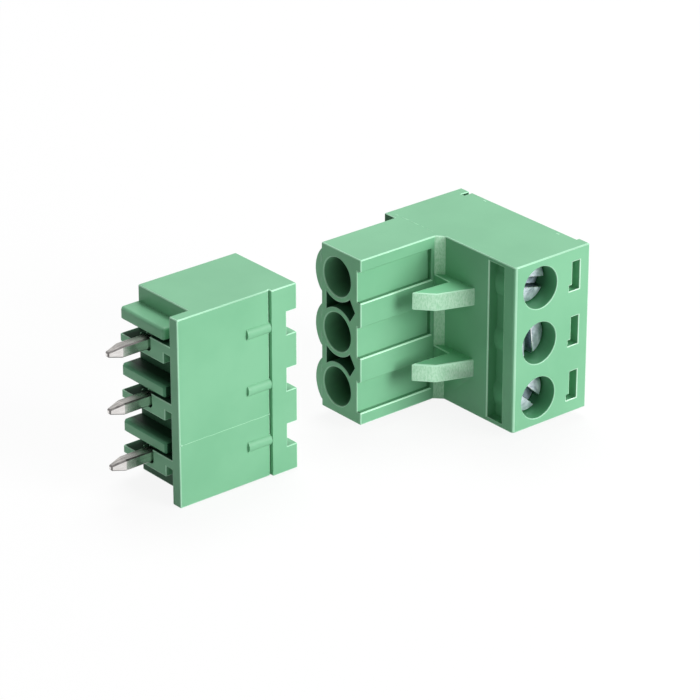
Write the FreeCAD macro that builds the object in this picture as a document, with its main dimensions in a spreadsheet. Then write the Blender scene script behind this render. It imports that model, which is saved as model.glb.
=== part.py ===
import FreeCAD, Part
import math
import os
import re
import Sketcher

# Three-position pluggable terminal block, in millimetres: a header for a circuit board and the
# screw plug that slides onto it, drawn apart by the length of the rest gap.
# +X is the plugging direction seen from the board, +Z runs along the row of positions, and -Y is
# the side of the latch fingers and screw heads. The origin is where the middle pin's axis meets
# the face of the board.

positions = 3
slot_angles = (43.0, 84.0, 13.0)   # how each screw's slot happens to stand, bottom to top, degrees

# Driving dimensions
# Heights in Y are measured from the axis of the sockets and pins: near is -Y, far is +Y.
sizes = {
    "pitch": 5.08,
    "overcut": 0.5,                # how far a cut starts outside the surface it enters
    "rest_gap": 8.0,               # between header mouth and plug face when unplugged
    "fit_gap": 0.1,                # plug in header, each side
    "seat_gap": 0.1,               # left between header mouth and plug step when plugged in
    "floor_gap": 0.3,              # left between plug face and header floor when plugged in
    "finger_gap": 0.25,            # between header lip and latch finger
    "finger_root_gap": 0.05,       # left between header mouth and finger root when plugged in

    "mating_length": 8.8,
    "mating_near": 3.1,
    "mating_far": 2.05,
    "swell_height": 0.8,           # round swelling of the far face at each socket
    "far_step_lead": 0.7,          # the far step lies this much nearer the header than the near one
    "far_step_height": 1.35,
    "body_near": 12.55,
    "body_length": 8.05,
    "back_lip": 0.3,
    "back_lip_height": 1.3,
    "back_slot_depth": 0.9,
    "back_slot_width": 0.35,
    "back_slot_margin": 1.25,      # from the slot's middle to the far face
    "inner_chamfer": 0.66,
    "edge_round": 0.12,
    "corner_round": 0.35,

    "socket_radius": 1.75,
    "socket_floor": 0.5,           # from a socket's floor to the front of the body
    "socket_chamfer": 0.1,
    "tube_wall": 0.48,
    "relief_depth": 5.0,
    "relief_height": 2.2,
    "relief_far_wall": 0.6,
    "relief_near_wall": 0.77,
    "relief_slope": 0.73,
    "recess_height": 2.82,
    "recess_depth": 0.48,
    "recess_end_gap": 0.97,        # from a recess to the front of the body

    "finger_spread": 3.3,
    "finger_height": 1.6,
    "finger_length": 4.62,
    "finger_nose": 1.42,
    "finger_lift": 0.3,            # inner side farther from the header at the root than at the tip
    "finger_bend_thickness": 1.58,
    "finger_root_thickness": 2.72,

    "groove_lip": 1.44,
    "groove_width": 1.84,
    "groove_depth": 1.0,
    "groove_margin": 0.4,

    "screw_offset": 2.85,          # screw axis behind the front of the body
    "screw_hole_radius": 1.88,
    "screw_hole_wall": 0.3,
    "head_gap": 0.07,              # head in its hole, radial
    "head_height": 1.95,
    "head_chamfer": 0.15,
    "head_sink": 1.5,
    "head_seat_gap": 0.05,
    "hole_edge": 0.08,
    "driver_slot_width": 0.85,
    "driver_slot_depth": 0.9,
    "thread_radius": 1.5,
    "thread_gap": 0.05,
    "shank_chamfer": 0.35,

    "window_offset": 3.6,          # slots beside the screw holes, behind the screw axis
    "window_width": 0.85,
    "window_height": 2.63,
    "window_depth": 2.5,
    "window_notch": 0.32,
    "window_notch_height": 0.55,

    "wire_radius": 1.35,
    "wire_gap": 0.15,              # wire of full size in the open clamp
    "funnel_width": 0.3,
    "funnel_depth": 1.0,
    "tongue_near": 2.0,
    "tongue_thickness": 0.7,
    "tongue_overhang": 0.55,       # tongue past the cage
    "tongue_gap": 0.1,             # tongue in the cage, each side
    "web_thickness": 0.6,
    "leaf_thickness": 0.3,
    "leaf_width": 2.1,
    "leaf_root": 1.0,
    "leaf_length": 5.35,
    "leaf_nose": 1.2,
    "leaf_flare": 0.95,
    "leaf_grip_length": 1.1,
    "pin_contact_gap": 0.03,
    "contact_gap": 0.15,           # contact in its room

    "cage_length": 3.6,
    "cage_width": 4.1,
    "cage_side": 0.5,
    "cage_roof": 1.6,
    "cage_floor": 0.75,
    "cage_clearance": 0.3,         # cage roof above the tongue when open
    "clamp_gap": 0.1,              # left between tongue and cage floor when closed
    "cage_round": 0.5,
    "chamber_gap": 0.1,
    "chamber_end_gap": 0.25,

    "header_length": 12.0,
    "near_wall": 1.05,
    "far_wall": 0.5,
    "end_wall": 0.7,
    "stand_off": 1.9,
    "lip_thickness": 0.28,
    "lip_length": 2.6,
    "lip_groove": 0.1,
    "notch_width": 2.05,
    "notch_depth": 1.05,
    "rib_length": 2.4,
    "rib_radius": 0.59,
    "rib_sink": 0.34,              # middle of a rib's round under the near wall's face

    "bar_offset": 1.34,
    "bar_height": 1.12,
    "bar_end_gap": 0.85,           # from the bars' near ends to the near wall
    "bar_round": 0.34,
    "pad_low": 1.15,
    "pad_step": 0.45,
    "pad_high": 0.62,
    "link_low": 0.2,
    "collar_gap": 0.18,
    "collar_chamfer": 0.22,
    "collar_depth": 0.6,

    "pin_width": 1.0,
    "pin_hole_gap": 0.02,
    "pin_tail": 3.9,
    "pin_tail_taper": 1.3,
    "pin_tail_end": 0.45,
    "pin_sink": 1.5,               # pin's tip inside the mouth of the header
    "pin_nose_taper": 0.9,
    "pin_nose_end": 0.5,
}

# Worked out from the driving dimensions
derived = {
    "row_start": "=-%g * pitch" % ((positions - 1) / 2),
    "row_span": "=%g * pitch" % (positions - 1),
    "row_length": "=%g * pitch" % positions,
    "swell_radius": "=mating_far + swell_height",
    "body_far": "=mating_far + far_step_height",
    "step_front": "=mating_length - far_step_lead",
    "back_face": "=mating_length + body_length",
    "back_slot_far": "=body_far - back_slot_margin + back_slot_width / 2",
    "back_slot_near": "=back_slot_far - back_slot_width",
    "seat_depth": "=step_front - seat_gap",
    "plug_face": "=header_length + rest_gap",
    "header_floor": "=header_length - seat_depth - floor_gap",
    "header_near_inner": "=mating_near + fit_gap",
    "header_near_outer": "=header_near_inner + near_wall",
    "header_far_inner": "=mating_far + fit_gap",
    "header_swell": "=swell_radius + fit_gap",
    "header_far_outer": "=header_swell + far_wall",
    "header_inner_row": "=row_length + 2 * fit_gap",
    "header_row": "=header_inner_row + 2 * end_wall",
    "bar_near": "=header_near_inner - bar_end_gap",
    "pin_tip": "=header_length - pin_sink",
    "collar_half": "=pin_width / 2 + collar_gap",
    "tube_radius": "=socket_radius + tube_wall",
    "socket_depth": "=mating_length - socket_floor",
    "relief_far": "=mating_far - relief_far_wall",
    "relief_point": "=mating_near - relief_near_wall",
    "relief_near": "=relief_point - relief_slope",
    "recess_length": "=mating_length - recess_end_gap",
    "finger_inner": "=header_near_outer + lip_thickness + finger_gap",
    "finger_tip": "=mating_length - finger_length",
    "finger_bend": "=finger_tip + finger_nose",
    "finger_root": "=seat_depth + finger_root_gap",
    "groove_start": "=body_near - groove_lip - groove_width",
    "screw_axis": "=mating_length + screw_offset",
    "head_radius": "=screw_hole_radius - head_gap",
    "head_top": "=body_near - head_sink",
    "head_seat": "=head_top - head_height",
    "shoulder": "=head_seat - head_seat_gap",
    "cage_opening": "=2 * wire_radius + wire_gap",
    "cage_travel": "=cage_opening - clamp_gap",
    "tongue_far": "=tongue_near - tongue_thickness",
    "tongue_width": "=cage_width - 2 * cage_side - 2 * tongue_gap",
    "cage_front": "=screw_axis - cage_length / 2",
    "cage_inner_near": "=tongue_near + cage_clearance",
    "cage_outer_near": "=cage_inner_near + cage_roof",
    "cage_inner_far": "=cage_opening - tongue_far",
    "cage_outer_far": "=cage_inner_far + cage_floor",
    "tongue_end": "=screw_axis + cage_length / 2 + tongue_overhang",
    "wire_axis": "=cage_opening / 2 - tongue_far",
    "web_front": "=socket_depth + contact_gap",
    "web_back": "=web_front + web_thickness",
    "web_far": "=leaf_root + leaf_thickness",
    "leaf_tip": "=web_front - leaf_length",
    "grip_start": "=leaf_tip + leaf_nose",
    "grip_end": "=grip_start + leaf_grip_length",
    "grip": "=pin_width / 2 + pin_contact_gap",
    "chamber_front": "=cage_front - chamber_end_gap",
    "chamber_back": "=tongue_end + contact_gap",
    "chamber_near": "=cage_outer_near + cage_travel + chamber_end_gap",
    "chamber_far": "=cage_outer_far + chamber_gap",
}


def make_sheet(doc):
    sheet = doc.addObject("Spreadsheet::Sheet", "Sizes")
    row = 1
    for alias, value in list(sizes.items()) + list(derived.items()):
        sheet.set("A%d" % row, alias)
        sheet.set("B%d" % row, str(value))
        sheet.setAlias("B%d" % row, alias)
        row += 1
    doc.recompute()
    return sheet


def bind(text):
    """Expression text with every size name read from the sheet."""
    return re.sub("[a-z_]+", lambda word: "Sizes." + word.group(), text)


def read(doc, text):
    """The present value of a size."""
    return float(doc.Sizes.get(text))


def make_body(doc, label, x="0", z="0"):
    body = doc.addObject("PartDesign::Body", label)
    body.Label = label
    body.setExpression("Placement.Base.x", bind(x))
    body.setExpression("Placement.Base.z", bind(z))
    return body


def origin_feature(body, role):
    return [feature for feature in body.Origin.OriginFeatures if feature.Role == role][0]


def make_sketch(body, name, plane, offset="0", shift_x="0", shift_y="0"):
    """Sketch on one of the body's own planes, moved along its normal and within the plane."""
    sketch = body.newObject("Sketcher::SketchObject", name)
    sketch.AttachmentSupport = [(origin_feature(body, plane), "")]
    sketch.MapMode = "FlatFace"
    sketch.setExpression("AttachmentOffset.Base.x", bind(shift_x))
    sketch.setExpression("AttachmentOffset.Base.y", bind(shift_y))
    sketch.setExpression("AttachmentOffset.Base.z", bind(offset))
    return sketch


def place_point(sketch, geometry, point, x, y):
    """Hold one point of a sketch at two expressions, measured from the sketch's origin."""
    for kind, text in (("DistanceX", x), ("DistanceY", y)):
        number = sketch.addConstraint(Sketcher.Constraint(kind, -1, 1, geometry, point, 1.0))
        sketch.setExpression("Constraints[%d]" % number, bind(text))


def draw_outline(sketch, corners):
    """Closed outline of straight lines through corners given as pairs of expressions."""
    count = len(corners)
    ring = [FreeCAD.Vector(math.cos(2 * math.pi * i / count), math.sin(2 * math.pi * i / count), 0)
            for i in range(count)]
    first = sketch.GeometryCount
    for i in range(count):
        sketch.addGeometry(Part.LineSegment(ring[i], ring[(i + 1) % count]), False)
    for i in range(count):
        sketch.addConstraint(Sketcher.Constraint("Coincident", first + i, 2, first + (i + 1) % count, 1))
    for i, (x, y) in enumerate(corners):
        place_point(sketch, first + i, 1, x, y)


def draw_rectangle(sketch, low_x, low_y, high_x, high_y):
    draw_outline(sketch, [(low_x, low_y), (high_x, low_y), (high_x, high_y), (low_x, high_y)])


def draw_circle(sketch, x, y, radius):
    circle = Part.Circle(FreeCAD.Vector(0, 0, 0), FreeCAD.Vector(0, 0, 1), 1.0)
    number = sketch.addGeometry(circle, False)
    place_point(sketch, number, 3, x, y)
    held = sketch.addConstraint(Sketcher.Constraint("Radius", number, 1.0))
    sketch.setExpression("Constraints[%d]" % held, bind(radius))


def draw_segment(sketch, doc, centre_x, centre_y, radius, chord_x):
    """Round segment of a circle that stands out past an upright chord."""
    reach = math.acos(read(doc, chord_x) / read(doc, radius))
    circle = Part.Circle(FreeCAD.Vector(0, 0, 0), FreeCAD.Vector(0, 0, 1), read(doc, radius))
    arc = sketch.addGeometry(Part.ArcOfCircle(circle, -reach, reach), False)
    top = FreeCAD.Vector(read(doc, chord_x), read(doc, radius) * math.sin(reach), 0)
    chord = sketch.addGeometry(Part.LineSegment(top, FreeCAD.Vector(top.x, -top.y, 0)), False)
    sketch.addConstraint(Sketcher.Constraint("Coincident", arc, 2, chord, 1))
    sketch.addConstraint(Sketcher.Constraint("Coincident", chord, 2, arc, 1))
    sketch.addConstraint(Sketcher.Constraint("Vertical", chord))
    held = sketch.addConstraint(Sketcher.Constraint("Radius", arc, read(doc, radius)))
    sketch.setExpression("Constraints[%d]" % held, bind(radius))
    held = sketch.addConstraint(Sketcher.Constraint("DistanceX", -1, 1, chord, 1, top.x))
    sketch.setExpression("Constraints[%d]" % held, bind(chord_x))
    place_point(sketch, arc, 3, centre_x, centre_y)


def extrude(body, kind, name, sketch, length, both=False, reverse=False):
    """Pad or Pocket of a sketch, on one side or half to each side."""
    feature = body.newObject("PartDesign::" + kind, name)
    feature.Profile = sketch
    if both:
        feature.SideType = "Symmetric"
    feature.Reversed = reverse
    feature.setExpression("Length", bind(length))
    sketch.Visibility = False
    return feature


def groove(body, name, sketch, axis):
    feature = body.newObject("PartDesign::Groove", name)
    feature.Profile = sketch
    feature.ReferenceAxis = (sketch, [axis])
    feature.Angle = 360.0
    sketch.Visibility = False
    return feature


def repeat_along_row(body, feature, name, span="row_span", count=positions):
    """Copies of a feature along the row, from the lowest position up."""
    pattern = body.newObject("PartDesign::LinearPattern", name)
    pattern.Originals = [feature]
    pattern.Direction = (origin_feature(body, "Z_Axis"), [""])
    pattern.setExpression("Length", bind(span))
    pattern.Occurrences = count
    body.Tip = pattern
    return pattern


def mirror(body, feature, name, plane):
    copy = body.newObject("PartDesign::Mirrored", name)
    copy.Originals = [feature]
    copy.MirrorPlane = (origin_feature(body, plane), [""])
    body.Tip = copy
    return copy


def dress_edges(body, kind, name, size, test):
    """Fillet or Chamfer of the edges of the present tip that pass a test."""
    doc = body.Document
    doc.recompute()
    base = body.Tip
    edges = ["Edge%d" % (i + 1) for i, edge in enumerate(base.Shape.Edges)
             if not edge.Degenerated and test(edge)]
    feature = body.newObject("PartDesign::" + kind, name)
    feature.Base = (base, edges)
    feature.setExpression("Radius" if kind == "Fillet" else "Size", bind(size))
    return feature


def lies_at(edge, axis, value):
    """Whether an edge lies wholly in the plane where one coordinate has this value."""
    box = edge.BoundBox
    low = getattr(box, axis + "Min")
    high = getattr(box, axis + "Max")
    return abs(low - value) < 1e-4 and abs(high - value) < 1e-4


def is_circle(edge, radius):
    return hasattr(edge.Curve, "Radius") and abs(edge.Curve.Radius - radius) < 1e-4


def plug_section(body, doc):
    """The plug's outline from its end: mating part, body, step, chamfer and back lip."""
    sketch = make_sketch(body, "PlugSection", "XY_Plane")
    draw_outline(sketch, [
        ("0", "-mating_near"),
        ("mating_length - inner_chamfer", "-mating_near"),
        ("mating_length", "-mating_near - inner_chamfer"),
        ("mating_length", "-body_near"),
        ("back_face + back_lip", "-body_near"),
        ("back_face + back_lip", "back_lip_height - body_near"),
        ("back_face", "back_lip_height - body_near"),
        ("back_face", "back_slot_near"),
        ("back_face - back_slot_depth", "back_slot_near"),
        ("back_face - back_slot_depth", "back_slot_far"),
        ("back_face", "back_slot_far"),
        ("back_face", "body_far"),
        ("step_front", "body_far"),
        ("step_front", "mating_far"),
        ("0", "mating_far"),
    ])
    extrude(body, "Pad", "PlugBlock", sketch, "row_length", both=True)

    half_row = read(doc, "row_length") / 2
    front = read(doc, "mating_length")
    near = -read(doc, "body_near")

    def at_screw_corner(edge):
        return lies_at(edge, "X", front) and lies_at(edge, "Y", near)

    def round_outline(edge):
        return lies_at(edge, "Z", half_row) or lies_at(edge, "Z", -half_row) or lies_at(edge, "X", 0)

    dress_edges(body, "Fillet", "ScrewCorner", "corner_round", at_screw_corner)
    dress_edges(body, "Fillet", "OuterEdges", "edge_round", round_outline)


def plug_mating_part(body, doc):
    """Swellings, relief pockets, tubes, sockets and the shallow recesses of the mating part."""
    swell = make_sketch(body, "SwellSketch", "YZ_Plane")
    draw_segment(swell, doc, "0", "row_start", "swell_radius", "mating_far")
    swell_pad = extrude(body, "Pad", "Swell", swell, "step_front")
    repeat_along_row(body, swell_pad, "Swells")

    relief = make_sketch(body, "ReliefSketch", "YZ_Plane", shift_y="row_start + pitch / 2")
    draw_outline(relief, [
        ("relief_far", "-relief_height / 2"),
        ("relief_far", "relief_height / 2"),
        ("-relief_near", "relief_height / 2"),
        ("-relief_point", "0"),
        ("-relief_near", "-relief_height / 2"),
    ])
    relief_cut = extrude(body, "Pocket", "Relief", relief, "relief_depth", reverse=True)
    repeat_along_row(body, relief_cut, "Reliefs", "row_span - pitch", positions - 1)

    tube = make_sketch(body, "TubeSketch", "YZ_Plane")
    draw_circle(tube, "0", "row_start", "tube_radius")
    tube_pad = extrude(body, "Pad", "Tube", tube, "relief_depth")
    repeat_along_row(body, tube_pad, "Tubes")

    socket = make_sketch(body, "SocketSketch", "YZ_Plane")
    draw_circle(socket, "0", "row_start", "socket_radius")
    socket_cut = extrude(body, "Pocket", "Socket", socket, "socket_depth", reverse=True)
    repeat_along_row(body, socket_cut, "Sockets")

    recess = make_sketch(body, "RecessSketch", "XZ_Plane", offset="mating_near", shift_y="row_start")
    draw_rectangle(recess, "-overcut", "-recess_height / 2", "recess_length", "recess_height / 2")
    recess_cut = extrude(body, "Pocket", "Recess", recess, "recess_depth")
    repeat_along_row(body, recess_cut, "Recesses")


def plug_fingers(body):
    """The two latch fingers that reach over the header's lip."""
    finger = make_sketch(body, "FingerSketch", "XY_Plane", offset="finger_spread")
    draw_outline(finger, [
        ("mating_length + overcut", "-mating_near"),
        ("mating_length - inner_chamfer", "-mating_near"),
        ("finger_root", "-finger_inner - finger_lift"),
        ("finger_tip", "-finger_inner"),
        ("finger_bend", "-finger_inner - finger_bend_thickness"),
        ("mating_length", "-finger_inner - finger_root_thickness"),
        ("mating_length + overcut", "-finger_inner - finger_root_thickness"),
    ])
    finger_pad = extrude(body, "Pad", "Finger", finger, "finger_height", both=True)
    mirror(body, finger_pad, "FingerPair", "XY_Plane")


def plug_screw_side(body, doc):
    """Label groove with the round walls of the screw holes, and the windows beside them."""
    label = make_sketch(body, "GrooveSketch", "YZ_Plane", offset="mating_length")
    draw_rectangle(label, "-groove_start - groove_width", "groove_margin - row_length / 2",
                   "-groove_start", "row_length / 2 - groove_margin")
    extrude(body, "Pocket", "LabelGroove", label, "groove_depth", reverse=True)

    wall = make_sketch(body, "HoleWallSketch", "XZ_Plane", offset="groove_start")
    draw_circle(wall, "screw_axis", "row_start", "screw_hole_radius + screw_hole_wall")
    wall_pad = extrude(body, "Pad", "HoleWall", wall, "groove_width")
    repeat_along_row(body, wall_pad, "HoleWalls")

    window = make_sketch(body, "WindowSketch", "XZ_Plane", offset="body_near",
                         shift_x="screw_axis + window_offset", shift_y="row_start")
    draw_outline(window, [
        ("-window_notch", "-window_height / 2"),
        ("window_width", "-window_height / 2"),
        ("window_width", "window_height / 2"),
        ("0", "window_height / 2"),
        ("0", "window_notch_height - window_height / 2"),
        ("-window_notch", "window_notch_height - window_height / 2"),
    ])
    window_cut = extrude(body, "Pocket", "Window", window, "window_depth")
    repeat_along_row(body, window_cut, "Windows")


def plug_chambers(body):
    """Room for screw, clamp cage, contact and wire at each position."""
    bore = make_sketch(body, "ScrewBoreSketch", "XY_Plane", offset="row_start", shift_x="screw_axis")
    draw_outline(bore, [
        ("0", "-body_near - overcut"),
        ("screw_hole_radius", "-body_near - overcut"),
        ("screw_hole_radius", "-shoulder"),
        ("thread_radius + thread_gap", "-shoulder"),
        ("thread_radius + thread_gap", "-chamber_near"),
        ("0", "-chamber_near"),
    ])
    repeat_along_row(body, groove(body, "ScrewBore", bore, "V_Axis"), "ScrewBores")

    chamber = make_sketch(body, "ChamberSketch", "XY_Plane", offset="row_start")
    draw_rectangle(chamber, "chamber_front", "-chamber_near", "chamber_back", "chamber_far")
    chamber_cut = extrude(body, "Pocket", "Chamber", chamber, "cage_width + 2 * chamber_gap", both=True)
    repeat_along_row(body, chamber_cut, "Chambers")

    passage = make_sketch(body, "PassageSketch", "XY_Plane", offset="row_start")
    draw_rectangle(passage, "socket_depth", "-tongue_near - contact_gap",
                   "chamber_front", "web_far + contact_gap")
    passage_cut = extrude(body, "Pocket", "Passage", passage, "tongue_width + 2 * contact_gap", both=True)
    repeat_along_row(body, passage_cut, "Passages")

    entry = make_sketch(body, "WireEntrySketch", "XY_Plane", offset="row_start", shift_y="wire_axis")
    draw_outline(entry, [
        ("chamber_back", "0"),
        ("back_face", "0"),
        ("back_face", "wire_radius + funnel_width"),
        ("back_face - funnel_depth", "wire_radius"),
        ("chamber_back", "wire_radius"),
    ])
    repeat_along_row(body, groove(body, "WireEntry", entry, "H_Axis"), "WireEntries")


def plug_housing(doc):
    body = make_body(doc, "plug_housing", x="plug_face")
    plug_section(body, doc)
    plug_mating_part(body, doc)
    plug_fingers(body)
    plug_screw_side(body, doc)
    plug_chambers(body)
    socket_radius = read(doc, "socket_radius")
    hole_radius = read(doc, "screw_hole_radius")
    near = -read(doc, "body_near")

    def socket_mouth(edge):
        return lies_at(edge, "X", 0) and is_circle(edge, socket_radius)

    def screw_hole_mouth(edge):
        return lies_at(edge, "Y", near) and is_circle(edge, hole_radius)

    dress_edges(body, "Chamfer", "SocketMouths", "socket_chamfer", socket_mouth)
    dress_edges(body, "Chamfer", "ScrewHoleMouths", "hole_edge", screw_hole_mouth)
    return body


def header_shell(body, doc):
    """Outer block, near wall down to the board, lip and the cavity for the plug."""
    section = make_sketch(body, "HeaderSection", "XY_Plane")
    draw_outline(section, [
        ("stand_off", "header_far_outer"),
        ("stand_off", "-header_near_inner"),
        ("0", "-header_near_inner"),
        ("0", "-header_near_outer"),
        ("header_length - lip_length - lip_groove", "-header_near_outer"),
        ("header_length - lip_length - lip_groove", "lip_groove - header_near_outer"),
        ("header_length - lip_length", "lip_groove - header_near_outer"),
        ("header_length - lip_length", "-header_near_outer - lip_thickness"),
        ("header_length", "-header_near_outer - lip_thickness"),
        ("header_length", "header_far_outer"),
    ])
    extrude(body, "Pad", "HeaderBlock", section, "header_row", both=True)
    half_row = read(doc, "header_row") / 2
    far = read(doc, "header_far_outer")
    near = -read(doc, "header_near_outer")

    def round_outline(edge):
        ends = lies_at(edge, "Z", half_row) or lies_at(edge, "Z", -half_row)
        board_edge = lies_at(edge, "X", 0) and lies_at(edge, "Y", near)
        return ends or board_edge or lies_at(edge, "Y", far)

    dress_edges(body, "Fillet", "OuterEdges", "edge_round", round_outline)

    cavity = make_sketch(body, "CavitySketch", "YZ_Plane", offset="header_length")
    draw_rectangle(cavity, "-header_near_inner", "-header_inner_row / 2",
                   "header_far_inner", "header_inner_row / 2")
    extrude(body, "Pocket", "Cavity", cavity, "header_length - header_floor")
    swell = make_sketch(body, "SwellSketch", "YZ_Plane", offset="header_length")
    draw_segment(swell, doc, "0", "row_start", "header_swell", "header_far_inner")
    swell_cut = extrude(body, "Pocket", "Swell", swell, "header_length - header_floor")
    repeat_along_row(body, swell_cut, "Swells")


def header_near_side(body):
    """Notches in the lip and the low round ribs in front of it."""
    notch = make_sketch(body, "NotchSketch", "XZ_Plane", offset="header_near_outer + lip_thickness",
                        shift_y="row_start")
    draw_rectangle(notch, "header_length - notch_depth", "-notch_width / 2",
                   "header_length + overcut", "notch_width / 2")
    notch_cut = extrude(body, "Pocket", "Notch", notch, "near_wall + lip_thickness")
    repeat_along_row(body, notch_cut, "Notches")

    rib = make_sketch(body, "RibSketch", "YZ_Plane", offset="header_length - lip_length - rib_length")
    draw_circle(rib, "rib_sink - header_near_outer", "row_start", "rib_radius")
    repeat_along_row(body, extrude(body, "Pad", "Rib", rib, "rib_length"), "Ribs")


def header_board_side(body, doc):
    """Stand-off bars, pads round the pins and the pins' holes on the side of the board."""
    bar = make_sketch(body, "BarSketch", "YZ_Plane", shift_y="row_start + bar_offset")
    draw_rectangle(bar, "-bar_near", "-bar_height / 2", "header_far_outer", "bar_height / 2")
    bar_pad = extrude(body, "Pad", "Bar", bar, "stand_off")
    repeat_along_row(body, bar_pad, "Bars")

    def bar_front(edge):
        return lies_at(edge, "X", 0) and edge.BoundBox.YMin > -read(doc, "bar_near") - 1e-4

    dress_edges(body, "Fillet", "BarRounds", "bar_round", bar_front)

    pad = make_sketch(body, "PadSketch", "YZ_Plane", shift_y="row_start")
    draw_outline(pad, [
        ("header_far_outer", "-pad_low"),
        ("header_far_outer", "-pad_step"),
        ("collar_half", "-pad_step"),
        ("collar_half", "pad_high"),
        ("-header_near_inner", "pad_high"),
        ("-header_near_inner", "-link_low"),
        ("-bar_near", "-link_low"),
        ("-bar_near", "-pad_low"),
    ])
    repeat_along_row(body, extrude(body, "Pad", "Pad", pad, "stand_off"), "Pads")

    collar = make_sketch(body, "CollarSketch", "YZ_Plane", shift_y="row_start")
    draw_outline(collar, [
        ("collar_half", "collar_chamfer - collar_half"),
        ("collar_half", "collar_half - collar_chamfer"),
        ("collar_half - collar_chamfer", "collar_half"),
        ("collar_chamfer - collar_half", "collar_half"),
        ("-collar_half", "collar_half - collar_chamfer"),
        ("-collar_half", "collar_chamfer - collar_half"),
        ("collar_chamfer - collar_half", "-collar_half"),
        ("collar_half - collar_chamfer", "-collar_half"),
    ])
    collar_cut = extrude(body, "Pocket", "Collar", collar, "collar_depth", reverse=True)
    repeat_along_row(body, collar_cut, "Collars")

    hole = make_sketch(body, "PinHoleSketch", "YZ_Plane", shift_y="row_start")
    draw_rectangle(hole, "-pin_width / 2 - pin_hole_gap", "-pin_width / 2 - pin_hole_gap",
                   "pin_width / 2 + pin_hole_gap", "pin_width / 2 + pin_hole_gap")
    hole_cut = extrude(body, "Pocket", "PinHole", hole, "header_floor + overcut", reverse=True)
    repeat_along_row(body, hole_cut, "PinHoles")


def header_housing(doc):
    body = make_body(doc, "header_housing")
    header_shell(body, doc)
    header_near_side(body)
    header_board_side(body, doc)
    return body


def square_sketch(body, name, offset, width):
    sketch = make_sketch(body, name, "YZ_Plane", offset=offset)
    half = "(" + width + ") / 2"
    draw_rectangle(sketch, "-" + half, "-" + half, half, half)
    return sketch


def tapered_end(body, name, start, end, end_width):
    """Square pin drawn down to a smaller square at its end."""
    wide = square_sketch(body, name + "Root", start, "pin_width")
    narrow = square_sketch(body, name + "End", end, end_width)
    loft = body.newObject("PartDesign::AdditiveLoft", name)
    loft.Profile = wide
    loft.Sections = [narrow]
    loft.Ruled = True
    wide.Visibility = False
    narrow.Visibility = False


def header_pin(doc, index):
    body = make_body(doc, "header_pin_%d" % (index + 1), z="row_start + %d * pitch" % index)
    nose_root = "pin_tip - pin_nose_taper"
    shaft = square_sketch(body, "ShaftSketch", "pin_tail_taper - pin_tail", "pin_width")
    extrude(body, "Pad", "Shaft", shaft, nose_root + " + pin_tail - pin_tail_taper")
    tapered_end(body, "Tail", "pin_tail_taper - pin_tail", "-pin_tail", "pin_tail_end")
    tapered_end(body, "Nose", nose_root, "pin_tip", "pin_nose_end")
    return body


def clamp_screw(doc, index):
    """Slotted screw: its head rests on the shoulder in the housing, its point on the tongue."""
    body = make_body(doc, "clamp_screw_%d" % (index + 1),
                     x="plug_face + screw_axis", z="row_start + %d * pitch" % index)
    body.Placement.Rotation = FreeCAD.Rotation(FreeCAD.Vector(0, 1, 0), slot_angles[index])
    turned = make_sketch(body, "ScrewSketch", "XY_Plane")
    draw_outline(turned, [
        ("0", "-head_top"),
        ("head_radius - head_chamfer", "-head_top"),
        ("head_radius", "head_chamfer - head_top"),
        ("head_radius", "-head_seat"),
        ("thread_radius", "-head_seat"),
        ("thread_radius", "-tongue_near - head_seat_gap - shank_chamfer"),
        ("thread_radius - shank_chamfer", "-tongue_near - head_seat_gap"),
        ("0", "-tongue_near - head_seat_gap"),
    ])
    shank = body.newObject("PartDesign::Revolution", "Turned")
    shank.Profile = turned
    shank.ReferenceAxis = (turned, ["V_Axis"])
    shank.Angle = 360.0
    turned.Visibility = False
    slot = make_sketch(body, "DriverSlotSketch", "XZ_Plane", offset="head_top")
    draw_rectangle(slot, "-head_radius - overcut", "-driver_slot_width / 2",
                   "head_radius + overcut", "driver_slot_width / 2")
    extrude(body, "Pocket", "DriverSlot", slot, "driver_slot_depth")
    return body


def clamp_cage(doc, index):
    """Folded cage that rises on the screw and presses the wire against the tongue."""
    body = make_body(doc, "clamp_cage_%d" % (index + 1),
                     x="plug_face", z="row_start + %d * pitch" % index)
    loop = make_sketch(body, "LoopSketch", "YZ_Plane", offset="cage_front")
    draw_rectangle(loop, "-cage_outer_near", "-cage_width / 2", "cage_outer_far", "cage_width / 2")
    extrude(body, "Pad", "Loop", loop, "cage_length")

    def long_edge(edge):
        return edge.BoundBox.XLength > 1

    dress_edges(body, "Fillet", "LoopRounds", "cage_round", long_edge)
    inside = make_sketch(body, "InsideSketch", "YZ_Plane", offset="cage_front")
    draw_rectangle(inside, "-cage_inner_near", "cage_side - cage_width / 2",
                   "cage_inner_far", "cage_width / 2 - cage_side")
    extrude(body, "Pocket", "Inside", inside, "cage_length", reverse=True)
    thread = make_sketch(body, "ThreadSketch", "XZ_Plane", offset="cage_outer_near")
    draw_circle(thread, "screw_axis", "0", "thread_radius + thread_gap")
    extrude(body, "Pocket", "ThreadedHole", thread, "cage_roof")
    return body


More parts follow.
